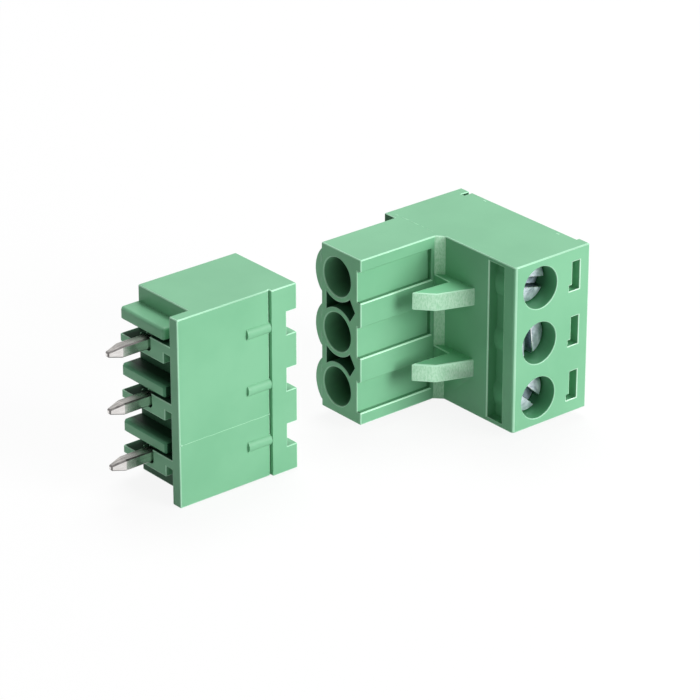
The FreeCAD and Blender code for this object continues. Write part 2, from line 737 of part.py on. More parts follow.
def socket_contact(doc, index):
    """Tongue under the screw, and two spring leaves that grip the header's pin."""
    body = make_body(doc, "socket_contact_%d" % (index + 1),
                     x="plug_face", z="row_start + %d * pitch" % index)
    tongue = make_sketch(body, "TongueSketch", "XY_Plane")
    draw_rectangle(tongue, "web_front", "-tongue_near", "tongue_end", "-tongue_far")
    extrude(body, "Pad", "Tongue", tongue, "tongue_width", both=True)
    web = make_sketch(body, "WebSketch", "XY_Plane")
    draw_rectangle(web, "web_front", "-tongue_near", "web_back", "web_far")
    extrude(body, "Pad", "Web", web, "leaf_width", both=True)
    leaf = make_sketch(body, "LeafSketch", "XY_Plane")
    draw_outline(leaf, [
        ("web_back", "leaf_root"),
        ("grip_end", "grip"),
        ("grip_start", "grip"),
        ("leaf_tip", "leaf_flare"),
        ("leaf_tip", "leaf_flare + leaf_thickness"),
        ("grip_start", "grip + leaf_thickness"),
        ("grip_end", "grip + leaf_thickness"),
        ("web_front", "web_far"),
        ("web_back", "web_far"),
    ])
    leaf_pad = extrude(body, "Pad", "Leaf", leaf, "leaf_width", both=True)
    mirror(body, leaf_pad, "LeafPair", "XZ_Plane")
    return body


def check_cuts(doc):
    """Every cut has to take something away, and every pad has to add something."""
    for feature in doc.Objects:
        base = getattr(feature, "BaseFeature", None)
        if base is None or not hasattr(base, "Shape"):
            continue
        change = feature.Shape.Volume - base.Shape.Volume
        if feature.isDerivedFrom("PartDesign::Pocket") or feature.isDerivedFrom("PartDesign::Groove"):
            assert change < -1e-4, feature.FullName + " cuts nothing"
        if feature.isDerivedFrom("PartDesign::Pad"):
            assert change > 1e-4, feature.FullName + " adds nothing"


def check_objects(doc):
    for item in doc.Objects:
        failed = {"Invalid", "Error"} & set(item.State)
        assert not failed, "%s (%s) is %s" % (item.Name, item.Label, item.State)


def main():
    doc = FreeCAD.newDocument("pluggable_terminal_block")
    make_sheet(doc)
    pieces = [header_housing(doc), plug_housing(doc)]
    for index in range(positions):
        pieces.append(header_pin(doc, index))
        pieces.append(socket_contact(doc, index))
        pieces.append(clamp_cage(doc, index))
        pieces.append(clamp_screw(doc, index))
    doc.recompute()
    check_objects(doc)
    check_cuts(doc)
    os.makedirs("parts", exist_ok=True)
    for piece in pieces:
        shape = piece.Shape
        assert not shape.isNull() and shape.isValid(), piece.Label + " is not a valid solid"
        assert len(shape.Solids) == 1, piece.Label + " is not one solid"
        shape.exportStep(os.path.join("parts", piece.Label + ".step"))
        print("%-18s %8.2f mm3" % (piece.Label, shape.Volume))


main()
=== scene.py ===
import math

import bmesh
import bpy
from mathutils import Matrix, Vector


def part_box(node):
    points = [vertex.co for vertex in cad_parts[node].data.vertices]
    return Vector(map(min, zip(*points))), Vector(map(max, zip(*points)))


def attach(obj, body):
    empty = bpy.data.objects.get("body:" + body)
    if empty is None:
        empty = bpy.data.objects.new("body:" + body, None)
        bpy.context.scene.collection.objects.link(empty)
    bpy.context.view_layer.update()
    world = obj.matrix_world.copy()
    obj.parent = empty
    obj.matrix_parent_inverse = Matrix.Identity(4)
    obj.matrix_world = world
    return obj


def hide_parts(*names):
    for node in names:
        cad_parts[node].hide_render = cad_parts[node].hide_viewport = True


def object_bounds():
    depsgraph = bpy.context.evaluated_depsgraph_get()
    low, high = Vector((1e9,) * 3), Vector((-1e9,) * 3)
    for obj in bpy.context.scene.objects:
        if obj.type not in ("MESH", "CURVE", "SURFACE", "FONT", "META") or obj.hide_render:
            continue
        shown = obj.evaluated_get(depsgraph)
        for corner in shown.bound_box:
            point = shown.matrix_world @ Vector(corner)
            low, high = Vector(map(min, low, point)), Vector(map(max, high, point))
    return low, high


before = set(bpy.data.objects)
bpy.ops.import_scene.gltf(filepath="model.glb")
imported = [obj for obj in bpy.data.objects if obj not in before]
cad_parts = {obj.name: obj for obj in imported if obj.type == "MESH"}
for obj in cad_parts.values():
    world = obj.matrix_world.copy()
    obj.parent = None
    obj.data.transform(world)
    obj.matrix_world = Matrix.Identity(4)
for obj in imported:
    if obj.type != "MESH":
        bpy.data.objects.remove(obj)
cadLow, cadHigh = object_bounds()
positions = (1, 2, 3)
mm = 0.001
pitch = 5.08                             # millimetres from one position to the next
print("frame loaded:", len(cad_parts), "nodes")


# shader maths written as expressions

class Wire:
    def __init__(self, graph, socket):
        self.graph = graph
        self.socket = socket

    def __add__(self, other):
        return self.graph.maths("ADD", self, other)

    def __radd__(self, other):
        return self.graph.maths("ADD", other, self)

    def __sub__(self, other):
        return self.graph.maths("SUBTRACT", self, other)

    def __rsub__(self, other):
        return self.graph.maths("SUBTRACT", other, self)

    def __mul__(self, other):
        return self.graph.maths("MULTIPLY", self, other)

    def __rmul__(self, other):
        return self.graph.maths("MULTIPLY", other, self)

    def __truediv__(self, other):
        return self.graph.maths("DIVIDE", self, other)

    def __rtruediv__(self, other):
        return self.graph.maths("DIVIDE", other, self)


class Graph:
    def __init__(self, tree):
        self.tree = tree
        tree.nodes.clear()

    def node(self, kind, settings=None, **sockets):
        made = self.tree.nodes.new(kind)
        for name, value in (settings or {}).items():
            setattr(made, name, value)
        for name, value in sockets.items():
            self.feed(made, name, value)
        return made

    def feed(self, made, name, value):   # a socket is named, or numbered as i0, i1 and so on
        numbered = name[0] == "i" and name[1:].isdigit()
        socket = made.inputs[int(name[1:])] if numbered else made.inputs[name.replace("_", " ")]
        if isinstance(value, Wire):
            self.tree.links.new(value.socket, socket)
        else:
            socket.default_value = value

    def wire(self, made, output=0):
        return Wire(self, made.outputs[output])

    def maths(self, operation, first, second=0.0):
        made = self.node("ShaderNodeMath", {"operation": operation}, i0=first, i1=second)
        return self.wire(made)

    def mixColour(self, factor, first, second):
        made = self.node("ShaderNodeMix", {"data_type": "RGBA"}, i0=factor, i6=first, i7=second)
        return self.wire(made, 2)

    def spread(self, value, fromLow, fromHigh, toLow, toHigh):
        made = self.node("ShaderNodeMapRange", {"clamp": True}, i0=value, i1=fromLow, i2=fromHigh,
                         i3=toLow, i4=toHigh)
        return self.wire(made)

    def place(self, scale=(1.0, 1.0, 1.0)):
        coordinates = self.node("ShaderNodeTexCoord")
        mapped = self.node("ShaderNodeMapping", Vector=Wire(self, coordinates.outputs["Object"]), Scale=scale)
        return self.wire(mapped)

    def noise(self, place, scale, detail=2.0, roughness=0.5):
        made = self.node("ShaderNodeTexNoise", Vector=place, Scale=scale, Detail=detail,
                         Roughness=roughness)
        return self.wire(made)

    def line(self, along):
        made = self.node("ShaderNodeTexNoise", {"noise_dimensions": "1D"}, W=along, Scale=1.0, Detail=2.0)
        return self.wire(made)

    def bump(self, height, strength, distance):
        made = self.node("ShaderNodeBump", Height=height, Strength=strength, Distance=distance)
        return self.wire(made)


def startMaterial(name):
    material = bpy.data.materials.new(name)
    material.use_nodes = True
    return material, Graph(material.node_tree)


def endMaterial(graph, shader):
    output = graph.node("ShaderNodeOutputMaterial")
    graph.tree.links.new(shader.outputs[0], output.inputs[0])


# green moulded plastic: a face's material index is its finish's place in this dictionary; besides the body's own
# colour and grain, most entries are painted light or shade: pale painted highlights on edges, rims and lips,
# painted light on end faces, finger tops and windows, and painted shade in sockets, bores, bars, recesses, ledges,
# pockets and the groove

greenFinishesAndPaintedLight = {
    "body": {"light": (0.222, 0.535, 0.315, 1.0), "dark": (0.196, 0.498, 0.286, 1.0), "grain": 0.25,
             "roughness": (0.40, 0.50), "specular": 0.32},
    # edge: pale painted highlight on the bevelled edges
    "edge": {"light": (0.470, 0.830, 0.590, 1.0), "dark": (0.400, 0.770, 0.520, 1.0), "grain": 0.10,
             "roughness": (0.30, 0.40), "specular": 0.5},
    # grained: the grained faces at the step and on the fingers, painted much paler as a painted sheen
    "grainedSheen": {"light": (0.640, 0.960, 0.720, 1.0), "dark": (0.420, 0.810, 0.520, 1.0), "grain": 0.55,
                "roughness": (0.50, 0.62), "specular": 0.4},
    # end: painted light, a paler green on the mating end faces
    "end": {"light": (0.345, 0.750, 0.460, 1.0), "dark": (0.300, 0.690, 0.415, 1.0), "grain": 0.25,
            "roughness": (0.40, 0.50), "specular": 0.25},
    # socket: painted light near the mouth, then painted shade that deepens into the socket
    "socket": {"light": (0.250, 0.600, 0.350, 1.0), "dark": (0.210, 0.540, 0.300, 1.0), "grain": 0.15,
               "roughness": (0.34, 0.44), "specular": 0.4, "deepShade": (0.008, 0.030, 0.015, 1.0),
               "along": 0, "from": 20.0 * mm, "to": 23.0 * mm},
    # bore: painted shade on the screw holes' walls, darker with depth
    "boreShade": {"light": (0.135, 0.440, 0.215, 1.0), "dark": (0.110, 0.390, 0.180, 1.0), "grain": 0.10,
             "roughness": (0.42, 0.50), "specular": 0.16, "deepShade": (0.045, 0.180, 0.078, 1.0),
             "along": 1, "from": -12.55 * mm, "to": -10.9 * mm},
    # recess: near-black painted shade under the header's bars and pads, on pad tops and on shaded bar ends
    "recessShade": {"light": (0.020, 0.078, 0.038, 1.0), "dark": (0.014, 0.062, 0.029, 1.0), "grain": 0.15,
               "roughness": (0.55, 0.65), "specular": 0.08},
    # bar: painted shade on the lower bars, darker towards the stand-off face
    "barShade": {"light": (0.150, 0.430, 0.240, 1.0), "dark": (0.125, 0.385, 0.210, 1.0), "grain": 0.25,
            "roughness": (0.44, 0.54), "specular": 0.15, "deepShade": (0.008, 0.036, 0.016, 1.0),
            "along": 0, "from": 0.02 * mm, "to": 0.95 * mm},
    # sunk: painted light, a slightly paler green on the finger tops and window walls
    "paintedLift": {"light": (0.240, 0.610, 0.350, 1.0), "dark": (0.205, 0.560, 0.310, 1.0), "grain": 0.25,
             "roughness": (0.46, 0.56), "specular": 0.15},
    # ledge: painted shade on the ledges and ends of the mating face's recesses
    "ledgeShade": {"light": (0.100, 0.310, 0.155, 1.0), "dark": (0.080, 0.270, 0.130, 1.0), "grain": 0.20,
              "roughness": (0.45, 0.55), "specular": 0.2},
    # rim: bright painted highlight on socket rims and along fingers, groove, mouth and recess ledges
    "rimHighlight": {"light": (0.620, 1.000, 0.740, 1.0), "dark": (0.540, 0.940, 0.660, 1.0), "grain": 0.10,
            "roughness": (0.30, 0.38), "specular": 0.5},
    # pocket: painted shade in the pockets between sockets, on the far step, in the back slot and on the header's
    # stand-off face
    "pocketShade": {"light": (0.050, 0.165, 0.085, 1.0), "dark": (0.038, 0.140, 0.070, 1.0), "grain": 0.15,
               "roughness": (0.45, 0.55), "specular": 0.2},
    # lip: pale painted highlight round the screw holes and windows
    "lipHighlight": {"light": (0.640, 0.940, 0.730, 1.0), "dark": (0.560, 0.870, 0.650, 1.0), "grain": 0.10,
            "roughness": (0.26, 0.34), "specular": 0.6},
    # groove: painted shade, a darker green in the label groove
    "grooveShade": {"light": (0.165, 0.480, 0.255, 1.0), "dark": (0.135, 0.420, 0.215, 1.0), "grain": 0.25,
               "roughness": (0.46, 0.56), "specular": 0.12},
}
plasticLook = {
    "cloudScale": 180.0,         # soft shade changes, a few mm across
    "cloudDetail": 3.0,
    "grainScale": 9000.0,        # fine grain left by the mould
    "grainRoughness": 0.6,
    "grainHeight": 0.004 * mm,
    "grainStretch": (1.0, 1.0, 0.4),  # on the fingers it runs along the row
    "grainInGloss": 0.35,        # share of the grain in the roughness
    "colourSpan": (0.35, 0.65),
    "glossSpan": (0.45, 0.9),
    "bends": 1.5,                # index of refraction
}


def greenPlastic(name, key):
    finishOrLight = greenFinishesAndPaintedLight[key]
    look = plasticLook
    material, g = startMaterial(name)
    place = g.place()
    cloud = g.noise(place, look["cloudScale"], look["cloudDetail"])
    grainPlace = g.place(look["grainStretch"]) if key == "grainedSheen" else place
    grain = g.noise(grainPlace, look["grainScale"], 2.0, look["grainRoughness"])
    patch = grain if key == "grainedSheen" else cloud
    colour = g.mixColour(g.spread(patch, *look["colourSpan"], 0.0, 1.0), finishOrLight["dark"], finishOrLight["light"])
    if "deepShade" in finishOrLight:                 # painted shade: the colour darkens with the depth of the hole
        parts = g.node("ShaderNodeSeparateXYZ", Vector=g.place())
        depth = g.spread(g.wire(parts, finishOrLight["along"]), finishOrLight["from"], finishOrLight["to"], 0.0, 1.0)
        colour = g.mixColour(depth, colour, finishOrLight["deepShade"])
    gloss = g.spread(cloud + look["grainInGloss"] * grain, *look["glossSpan"], *finishOrLight["roughness"])
    shader = g.node("ShaderNodeBsdfPrincipled", Base_Color=colour, IOR=look["bends"],
                    Specular_IOR_Level=finishOrLight["specular"], Roughness=gloss,
                    Normal=g.bump(grain, finishOrLight["grain"], look["grainHeight"]))
    endMaterial(g, shader)
    return material


# tin plate, bronze, cage and screw metals

metalLook = {
    "tin": {"light": (0.86, 0.84, 0.82, 1.0), "dark": (0.74, 0.71, 0.69, 1.0), "roughness": (0.16, 0.24)},
    "tinShade": {"light": (0.26, 0.25, 0.24, 1.0), "dark": (0.14, 0.13, 0.13, 1.0), "roughness": (0.26, 0.36)},
    # tinShearedShade: the duller sheared sides, also darkened as a painted reflection of dark surroundings
    "tinShearedShade": {"light": (0.50, 0.48, 0.46, 1.0), "dark": (0.24, 0.23, 0.22, 1.0), "roughness": (0.24, 0.34)},
    "contact": {"light": (0.78, 0.76, 0.72, 1.0), "dark": (0.62, 0.60, 0.55, 1.0), "roughness": (0.28, 0.42)},
    "cage": {"light": (0.74, 0.71, 0.64, 1.0), "dark": (0.60, 0.57, 0.50, 1.0), "roughness": (0.22, 0.36)},
    "zinc": {"light": (0.84, 0.93, 1.00, 1.0), "dark": (0.44, 0.53, 0.62, 1.0), "roughness": (0.34, 0.46)},
    # zincRimHighlight: near-white painted highlight on the screws' bevelled edges
    "zincRimHighlight": {"light": (0.98, 0.99, 1.00, 1.0), "dark": (0.86, 0.90, 0.94, 1.0), "roughness": (0.20, 0.30)},
    # zincShade and zincFloorShade: painted shade in the screws' slots, dark walls and a mid-tone floor
    "zincShade": {"light": (0.24, 0.29, 0.33, 1.0), "dark": (0.07, 0.10, 0.12, 1.0), "roughness": (0.30, 0.40)},
    "zincFloorShade": {"light": (0.56, 0.66, 0.74, 1.0), "dark": (0.22, 0.29, 0.34, 1.0), "roughness": (0.50, 0.60)},
}
drawnLook = {
    "streakScale": 7000.0,
    "streakHeight": 0.0006 * mm,
    "streakShare": 0.75,         # the rest of the tone is spots
    "streakBump": 0.35,
    "spotScale": 1400.0,
    "toneSpan": (0.35, 0.65),
    "spotSpan": (0.3, 0.7),
}


def drawnMetal(name, key, stretch):
    metal = metalLook[key]
    look = drawnLook
    material, g = startMaterial(name)
    place = g.place(stretch)
    streaks = g.noise(place, look["streakScale"], 3.0)
    spots = g.noise(g.place(), look["spotScale"], 2.0)
    tone = g.spread(streaks * look["streakShare"] + spots * (1 - look["streakShare"]), *look["toneSpan"], 0.0, 1.0)
    shader = g.node("ShaderNodeBsdfPrincipled", Base_Color=g.mixColour(tone, metal["dark"], metal["light"]),
                    Metallic=1.0, Roughness=g.spread(spots, *look["spotSpan"], *metal["roughness"]),
                    Normal=g.bump(streaks, look["streakBump"], look["streakHeight"]))
    endMaterial(g, shader)
    return material


headLook = {
    "ringScale": 9000.0,         # rings that the lathe left
    "swirlScale": 2600.0,        # wider arcs that cross them
    "swirlTurns": 2.2,
    "ringHeight": 0.0012 * mm,
    "swirlHeight": 0.006 * mm,
    "swirlBump": 0.5,
    "ringShift": 7.3,            # no two heads are alike
    "swirlShift": 3.1,
    "spotScale": 2400.0,
    "toneShares": (0.5, 0.3, 0.6),  # of spots, rings and swirl
    "toneSpan": (0.46, 0.80),
    "spotSpan": (0.3, 0.7),
}


def turnedZinc(name, key, axisX):
    metal = metalLook[key]
    look = headLook
    material, g = startMaterial(name)
    parts = g.node("ShaderNodeSeparateXYZ", Vector=g.place())
    across = g.wire(parts, 0) - axisX
    upward = g.wire(parts, 2)
    row = g.maths("ROUND", upward / (pitch * mm))
    along = upward - row * (pitch * mm)
    radius = g.maths("SQRT", across * across + along * along)
    angle = g.maths("ARCTAN2", along, across)
    rings = g.line(radius * look["ringScale"] + row * look["ringShift"])
    swirl = g.line(angle * look["swirlTurns"] + radius * look["swirlScale"] + row * look["swirlShift"])
    spots = g.noise(g.place(), look["spotScale"], 2.0)
    height = rings * (look["ringHeight"] / look["swirlHeight"]) + swirl
    ofSpots, ofRings, ofSwirl = look["toneShares"]
    tone = g.spread(ofSpots * spots + ofRings * rings + ofSwirl * swirl, *look["toneSpan"], 0.0, 1.0)
    shader = g.node("ShaderNodeBsdfPrincipled", Metallic=1.0,
                    Base_Color=g.mixColour(tone, metal["dark"], metal["light"]),
                    Roughness=g.spread(spots, *look["spotSpan"], *metal["roughness"]),
                    Normal=g.bump(height, look["swirlBump"], look["swirlHeight"]))
    endMaterial(g, shader)
    return material


def plasticName(key):
    return "mouldedGreen" if key == "body" else "mouldedGreen" + key.capitalize()


shellMaterials = [greenPlastic(plasticName(key), key) for key in greenFinishesAndPaintedLight]
finishAndPaintedLightIndex = {key: index for index, key in enumerate(greenFinishesAndPaintedLight)}
alongPin = (0.08, 1.0, 1.0)              # streaks drawn out along the pins
tinMetal = drawnMetal("tinPlate", "tin", alongPin)
tinShade = drawnMetal("tinPlateEdge", "tinShade", alongPin)
tinShearedShade = drawnMetal("tinPlateShearedShade", "tinShearedShade", alongPin)
contactMetal = drawnMetal("contactBronze", "contact", (0.3, 1.0, 1.0))
cageMetal = drawnMetal("cagePlate", "cage", (1.0, 1.0, 0.3))
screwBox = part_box("clamp_screw_2")
screwAxisX = (screwBox[0][0] + screwBox[1][0]) / 2
zincMetal = turnedZinc("zincSteel", "zinc", screwAxisX)
zincSlot = turnedZinc("zincSteelSlotShade", "zincShade", screwAxisX)
zincRimHighlight = turnedZinc("zincSteelRimHighlight", "zincRimHighlight", screwAxisX)
zincFloorShade = turnedZinc("zincSteelFloorShade", "zincFloorShade", screwAxisX)
print("materials made")


# shells are bevelled copies of the imported solids, so their edges catch the light; the bevel faces also get a pale
# painted highlight colour

bevelLook = {
    "plastic": {"width": 0.24 * mm, "segments": 3, "smooth": True, "usual": 0.33, "fine": 0.52},
    "pin": {"width": 0.11 * mm, "segments": 1, "smooth": False},
    "metal": {"width": 0.07 * mm, "segments": 2, "smooth": True},
    "spring": {"width": 0.03 * mm, "segments": 2, "smooth": True},
    "sharpFrom": 50.0,           # degrees between two faces
    "creaseFrom": 30.0,
    "flatWithin": 0.6,
    "weldWithin": 0.0001 * mm,
}
headerPlaces = {                         # millimetres in the frame, heights from a position's axis
    "standOff": 1.9,             # face that bars and pads stand on
    "nearFace": 0.05,            # how close to a face an edge has to lie
    "barX": 1.95,
    "barY": -2.4,
    "barHeights": (0.7, 2.0),
    "barFarEnd": 3.4,
    "rowShift": 0.5,             # bars stand above the axes
    "pinX": 0.75,
    "pinAway": 0.85,
    "ribX": (5.5, 9.3),
    "ribY": -4.26,
    "lipX": 9.4,
    "lipY": -4.4,
    "farWallY": 3.3,
    "nearWallY": -3.0,
    "bayY": -3.1,                # inside of the near wall, on the board's side
    "padY": -0.8,
    "pocketTop": 4.8,
    "topBar": 5.0,               # the bar above this height is open to the light
}
finePlaces = {                           # millimetres in the frame, on the plug
    "fingerX": 28.9,
    "fingerY": -4.2,
    "fingerZ": 4.0,
    "grooveX": (28.7, 28.9),
    "grooveY": (-9.4, -9.1),
    "recessX": (19.9, 28.0),
    "recessY": (-3.15, -3.05),
}


def within(value, span):
    return span[0] < value < span[1]


def nearestRow(z):
    return pitch * round(max(-1.0, min(1.0, z / pitch)))


def fromAxis(z):                         # how far above or below the nearest position's axis
    return z - nearestRow(z)


def fromRow(z):                          # how far above the axis that a bar at this height belongs to
    return z - nearestRow(z - headerPlaces["rowShift"])


def onBar(x, y, z):                      # the three bars that stand the header off its board
    places = headerPlaces
    return x < places["barX"] and y > places["barY"] and within(fromRow(z), places["barHeights"])


def onFineEdge(x, y, z):                 # edges of fingers, groove and recesses, which show as bright lines
    places = finePlaces
    onFinger = x < places["fingerX"] and y < places["fingerY"] and abs(z) < places["fingerZ"]
    onGroove = within(x, places["grooveX"]) and within(y, places["grooveY"])
    onRecess = within(x, places["recessX"]) and within(y, places["recessY"])
    return onFinger or onGroove or onRecess


def staysSharp(ends):                    # the rims round the pins, the ribs and two edges that meet bars and ribs
    places = headerPlaces
    close = places["nearFace"]
    away = places["pinAway"]
    nearPin = all(x < places["pinX"] and abs(y) < away and abs(fromAxis(z)) < away for x, y, z in ends)
    onRib = all(y < places["ribY"] for x, y, z in ends) and any(within(x, places["ribX"]) for x, y, z in ends)
    onLip = all(abs(x - places["lipX"]) < close and y < places["lipY"] for x, y, z in ends)
    onStandOff = all(abs(x - places["standOff"]) < close and y > places["farWallY"] for x, y, z in ends)
    return nearPin or onRib or onLip or onStandOff


def edgeShare(node, kind, ends):         # how much of the bevel's width an edge gets, nothing if it stays sharp
    look = bevelLook[kind]
    if "usual" not in look:
        return 1.0
    if node == "header_housing":
        if staysSharp(ends):
            return None
        if all(onBar(*end) for end in ends) and any(y < headerPlaces["barFarEnd"] for x, y, z in ends):
            return 1.0
    if node == "plug_housing" and all(onFineEdge(*end) for end in ends):
        return look["fine"]
    return look["usual"]


def bevelledCopy(node, name, kind, materials, edgeSlot):
    look = bevelLook[kind]
    mesh = bpy.data.meshes.new(name)
    shape = bmesh.new()
    shape.from_mesh(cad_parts[node].data)
    bmesh.ops.remove_doubles(shape, verts=shape.verts, dist=bevelLook["weldWithin"])
    bmesh.ops.dissolve_limit(shape, angle_limit=math.radians(bevelLook["flatWithin"]), verts=shape.verts,
                             edges=shape.edges, use_dissolve_boundaries=False)
    for face in shape.faces:
        face.material_index = 0
        face.smooth = look["smooth"]
    rounded = shape.edges.layers.float.new("bevel_weight_edge")
    for edge in shape.edges:
        turn = math.degrees(edge.calc_face_angle(0.0))
        if not edge.is_convex and turn > bevelLook["creaseFrom"]:
            edge.smooth = False          # inner corners stay crisp
        if edge.is_convex and turn > bevelLook["sharpFrom"]:
            share = edgeShare(node, kind, [tuple(corner.co / mm) for corner in edge.verts])
            if share is None:
                edge.smooth = False
            else:
                edge[rounded] = share
    shape.to_mesh(mesh)
    shape.free()
    for extra in [a.name for a in mesh.attributes if a.name == "custom_normal"]:
        mesh.attributes.remove(mesh.attributes[extra])
    for material in materials:
        mesh.materials.append(material)
    obj = bpy.data.objects.new(name, mesh)
    bpy.context.scene.collection.objects.link(obj)
    bevel = obj.modifiers.new("edges", "BEVEL")
    bevel.width = look["width"]
    bevel.segments = look["segments"]
    bevel.limit_method = "WEIGHT"
    bevel.use_clamp_overlap = kind != "plastic"
    bevel.material = edgeSlot
    bevel.miter_outer = "MITER_ARC"
    if look["smooth"]:
        flatter = obj.modifiers.new("flatter", "WEIGHTED_NORMAL")
        flatter.mode = "FACE_AREA"
        flatter.weight = 100
        flatter.keep_sharp = True
    evaluated = obj.evaluated_get(bpy.context.evaluated_depsgraph_get())
    baked = bpy.data.meshes.new_from_object(evaluated)
    obj.modifiers.clear()
    low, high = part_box(node)
    for corner in baked.vertices:        # no rounded corner stands past its solid
        corner.co = [min(max(value, least), most) for value, least, most in zip(corner.co, low, high)]
    obj.data = baked
    baked.name = name
    return obj


def dress(node, name, body, kind, materials, edgeSlot=-1):
    obj = bevelledCopy(node, name, kind, materials, edgeSlot)
    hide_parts(node)
    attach(obj, body)
    return obj


edgeHighlightIndex = finishAndPaintedLightIndex["edge"]
headerShell = dress("header_housing", "headerShell", "header", "plastic", shellMaterials, edgeHighlightIndex)
plugShell = dress("plug_housing", "plugShell", "plug", "plastic", shellMaterials, edgeHighlightIndex)


# each face gets the finish of its place, which for most places is painted light or shade; how far its normal has to
# point one way is a number from 0 to 1

facing = {"tilted": 0.05, "flat": 0.97, "slanted": 0.5, "finger": 0.25, "mostly": 0.6, "squarely": 0.9, "up": 0.1}
plugPlaces = {                           # millimetres: X from the mating end, Y in the frame
    "rounding": 0.13,            # how far in a rounded edge reaches
    "stepX": (8.1, 8.8),         # slanted strip between mating part and body
    "fingerY": -4.9,
    "fingerRootY": -4.1,
    "socketRadius": 1.76,
    "socketRimRadius": 2.0,
    "socketX": 9.0,
    "socketAxisY": 0.0,
    "recessX": (0.13, 8.0),
    "recessY": (-3.1, -2.6),
    "grooveX": (8.9, 9.9),
    "grooveY": (-11.15, -9.2),
    "webX": (0.1, 8.0),
    "webY": (-2.2, 2.4),
    "webAway": 1.8,
    "webEnd": 1.5,
    "holeAxis": 11.65,
    "holeRadius": 1.90,
    "holeDepth": (0.1, 4.0),
    "windowX": (14.0, 16.8),
    "windowDepth": (0.1, 1.6),
    "endWall": 0.3,
    "farStepX": (8.0, 9.2),
    "farStepY": 2.0,
    "backSlotY": (1.9, 2.4),
    "backSlotWallX": (15.9, 16.0),
    "backSlotX": (16.1, 16.7),
}
plugEdges = {                            # where the rounded edges of the same parts lie
    "frontX": 9.0,
    "recessX": (0.1, 8.1),
    "recessY": (-3.2, -2.95),
    "grooveY": (-11.4, -9.0),
    "mouthX": 0.1,
    "mouthY": -2.4,
    "holeRadius": 1.92,
    "holeNear": 0.08,
    "windowX": (14.0, 16.9),
    "screwFace": 0.3,
}


def tilted(part):                        # part of a normal that is neither flat nor square to its axis
    return facing["tilted"] < part < facing["flat"]


def plugFinishAndPaintedLight(x, y, z, normal, nearY, endZ):
    places = plugPlaces
    nx, ny, nz = normal
    rounding = places["rounding"]
    socketAway = math.hypot(y - places["socketAxisY"], fromAxis(z))
    holeAway = math.hypot(x - places["holeAxis"], fromAxis(z))
    inFront = x < places["stepX"][1]
    # painted sheen: the grained step strip and finger faces are painted pale
    if within(x, places["stepX"]) and nx < -facing["slanted"] and ny < -facing["slanted"]:
        return "grainedSheen"
    if inFront and y < places["fingerY"] and ny < -facing["finger"]:
        return "grainedSheen"
    # painted light on the finger tops
    if inFront and y < places["fingerRootY"] and nz > facing["mostly"]:
        return "paintedLift"
    # painted highlight on the mating end's rounded edges, brightest round the sockets
    if x < rounding and tilted(-nx):
        return "rimHighlight" if socketAway < places["socketRimRadius"] else "edge"
    # painted light on the flat mating end faces
    if x < rounding and nx < -facing["flat"]:
        return "end"
    # painted shade on the recess ledges and ends
    inRecess = within(x, places["recessX"]) and within(y, places["recessY"]) and endZ - abs(z) > places["endWall"]
    if inRecess and (nz > facing["mostly"] or nx < -facing["mostly"]):
        return "ledgeShade"
    # painted shade in the label groove
    if within(x, places["grooveX"]) and within(y, places["grooveY"]):
        return "grooveShade"
    # painted light, then painted shade, inside the sockets
    if x < places["socketX"] and socketAway < places["socketRadius"]:
        return "socket"
    # painted shade in the pockets between the sockets
    betweenSockets = abs(z) < endZ - places["webEnd"] and socketAway > places["webAway"]
    if within(x, places["webX"]) and within(y, places["webY"]) and betweenSockets:
        return "pocketShade"
    # painted highlight on the rounded edges of the screw face
    if y < nearY + rounding and tilted(-ny):
        return "edge"
    # painted shade on the screw holes' walls
    if within(y - nearY, places["holeDepth"]) and holeAway < places["holeRadius"]:
        return "boreShade"
    # painted light on the window walls
    inWindow = within(x, places["windowX"]) and abs(z) < endZ - places["endWall"]
    if within(y - nearY, places["windowDepth"]) and inWindow:
        return "paintedLift"
    # painted shade on the far step and in the back slot
    if y > places["farStepY"] and within(x, places["farStepX"]) and nx < -facing["squarely"]:
        return "pocketShade"
    onSlotWall = within(x, places["backSlotWallX"]) and nx > facing["squarely"]
    onSlotFloor = within(x, places["backSlotX"]) and abs(ny) > facing["squarely"]
    if within(y, places["backSlotY"]) and (onSlotWall or onSlotFloor):
        return "pocketShade"
    # painted highlight on the end walls' rounded edges
    if endZ - abs(z) < rounding and tilted(abs(nz)):
        return "edge"
    return "body"


# bevel faces get painted highlights: rim and lip brightest, edge elsewhere; recess edges keep the body colour
def plugEdgeFinishAndPaintedLight(x, y, z, normal, nearY, endZ):
    places = plugEdges
    byGroove = within(y, places["grooveY"])
    byFinger = y < plugPlaces["fingerRootY"]
    byRecess = within(x, places["recessX"]) and within(y, places["recessY"])
    byMouth = x < places["mouthX"] and y < places["mouthY"]
    inMiddle = abs(z) < endZ - plugPlaces["endWall"]
    # brightest painted highlight along fingers, groove, mouth and recess ledges
    if x < places["frontX"] and (byGroove or byFinger or byMouth or byRecess and normal.z > facing["up"]):
        return "rimHighlight"
    if byRecess and inMiddle:
        return "body"
    holeAway = math.hypot(x - plugPlaces["holeAxis"], fromAxis(z))
    byHole = abs(holeAway - places["holeRadius"]) < places["holeNear"]
    byWindow = within(x, places["windowX"]) and inMiddle
    # pale painted highlight round the screw holes and windows
    return "lipHighlight" if y < nearY + places["screwFace"] and (byHole or byWindow) else "edge"


